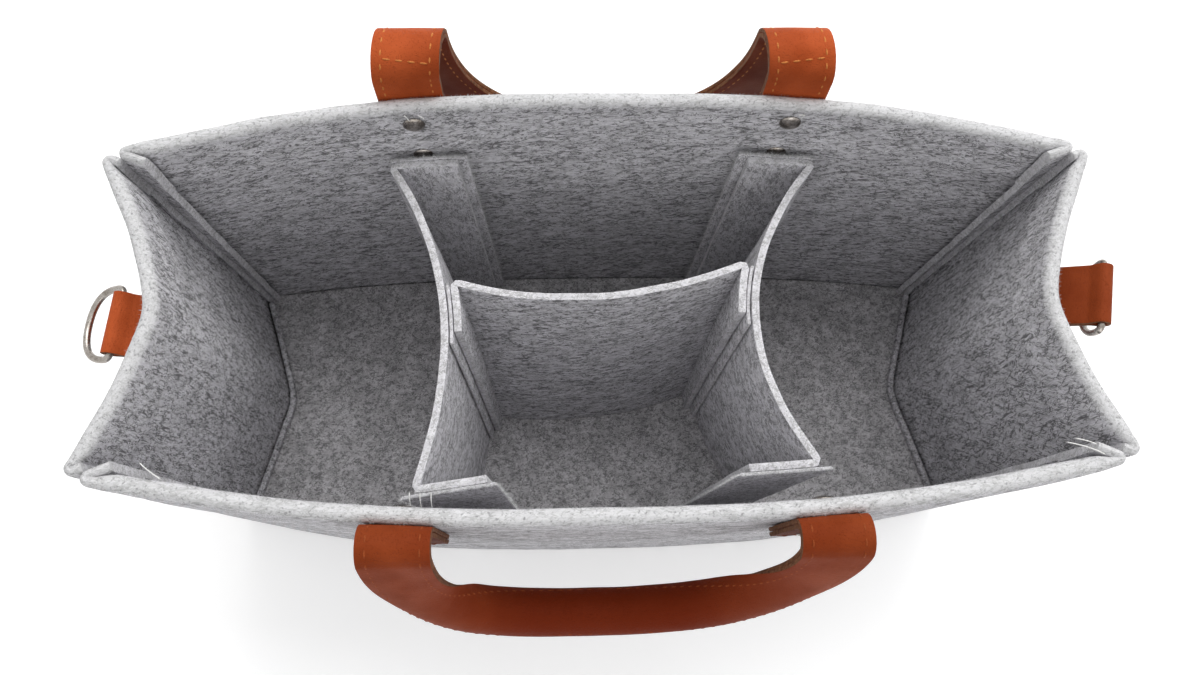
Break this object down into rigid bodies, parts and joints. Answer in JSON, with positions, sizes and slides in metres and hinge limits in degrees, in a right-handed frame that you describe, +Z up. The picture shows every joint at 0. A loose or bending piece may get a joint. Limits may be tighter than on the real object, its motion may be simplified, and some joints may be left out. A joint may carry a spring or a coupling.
{
  "type": "felt diaper caddy",
  "caption": "Open felt storage tub with bowed walls and inward-creased ends, a lift-out divider insert, two riveted leather carry handles and a D-ring tab on each end.",
  "frame": {"origin": "on the floor under the middle of the base", "axes": "+X along the length to the right, +Y to the back wall, +Z up"},
  "size_m": [0.4111, 0.2459, 0.1998],
  "materials": {
    "felt": "heathered grey felt, matt",
    "hook_tape": "white woven hook tape",
    "leather": "smooth cognac, satin",
    "nickel": "nickel plated"
  },
  "bodies": {
    "shell": {"back_panel": "felt", "front_panel": "felt", "left_end_panel": "felt", "right_end_panel": "felt", "base_panel": "felt", "back_left_strap_end_face": "leather", "back_left_strap_end_lining": "leather", "back_right_strap_end_face": "leather", "back_right_strap_end_lining": "leather", "front_left_strap_end_face": "leather", "front_left_strap_end_lining": "leather", "front_right_strap_end_face": "leather", "front_right_strap_end_lining": "leather", "back_left_upper_rivet": "nickel", "back_left_lower_rivet": "nickel", "back_right_upper_rivet": "nickel", "back_right_lower_rivet": "nickel", "front_left_upper_rivet": "nickel", "front_left_lower_rivet": "nickel", "front_right_upper_rivet": "nickel", "front_right_lower_rivet": "nickel", "left_ring_tab": "leather", "right_ring_tab": "leather"},
    "front_handle": {"front_handle_face": "leather", "front_handle_lining": "leather"},
    "back_handle": {"back_handle_face": "leather", "back_handle_lining": "leather"},
    "left_ring": {"left_d_ring": "nickel"},
    "right_ring": {"right_d_ring": "nickel"},
    "insert": {"left_divider": "felt", "right_divider": "felt", "cross_partition": "felt", "left_seam_strip": "felt", "right_seam_strip": "felt", "left_back_hook_tape": "hook_tape", "left_front_hook_tape": "hook_tape", "right_back_hook_tape": "hook_tape", "right_front_hook_tape": "hook_tape"}
  },
  "joints": [
    {"name": "front_handle_swing", "type": "hinge", "parent": "shell", "child": "front_handle", "pos_m": [0, -0.08863, 0.18475], "axis": [-1, 0, 0], "range_deg": [0, 150]},
    {"name": "back_handle_swing", "type": "hinge", "parent": "shell", "child": "back_handle", "pos_m": [0, 0.09839, 0.19971], "axis": [1, 0, 0], "range_deg": [0, 155]},
    {"name": "left_ring_swing", "type": "hinge", "parent": "shell", "child": "left_ring", "pos_m": [-0.19232, -0.00048, 0.16], "axis": [0.1045, 0.9945, 0], "range_deg": [-80, 110]},
    {"name": "right_ring_swing", "type": "hinge", "parent": "shell", "child": "right_ring", "pos_m": [0.19721, 0.00295, 0.17], "axis": [-0.2079, -0.9781, 0], "range_deg": [-20, 175]},
    {"name": "insert_lift", "type": "slide", "parent": "shell", "child": "insert", "axis": [0, 0, 1], "range_m": [0, 0.19]}
  ]
}
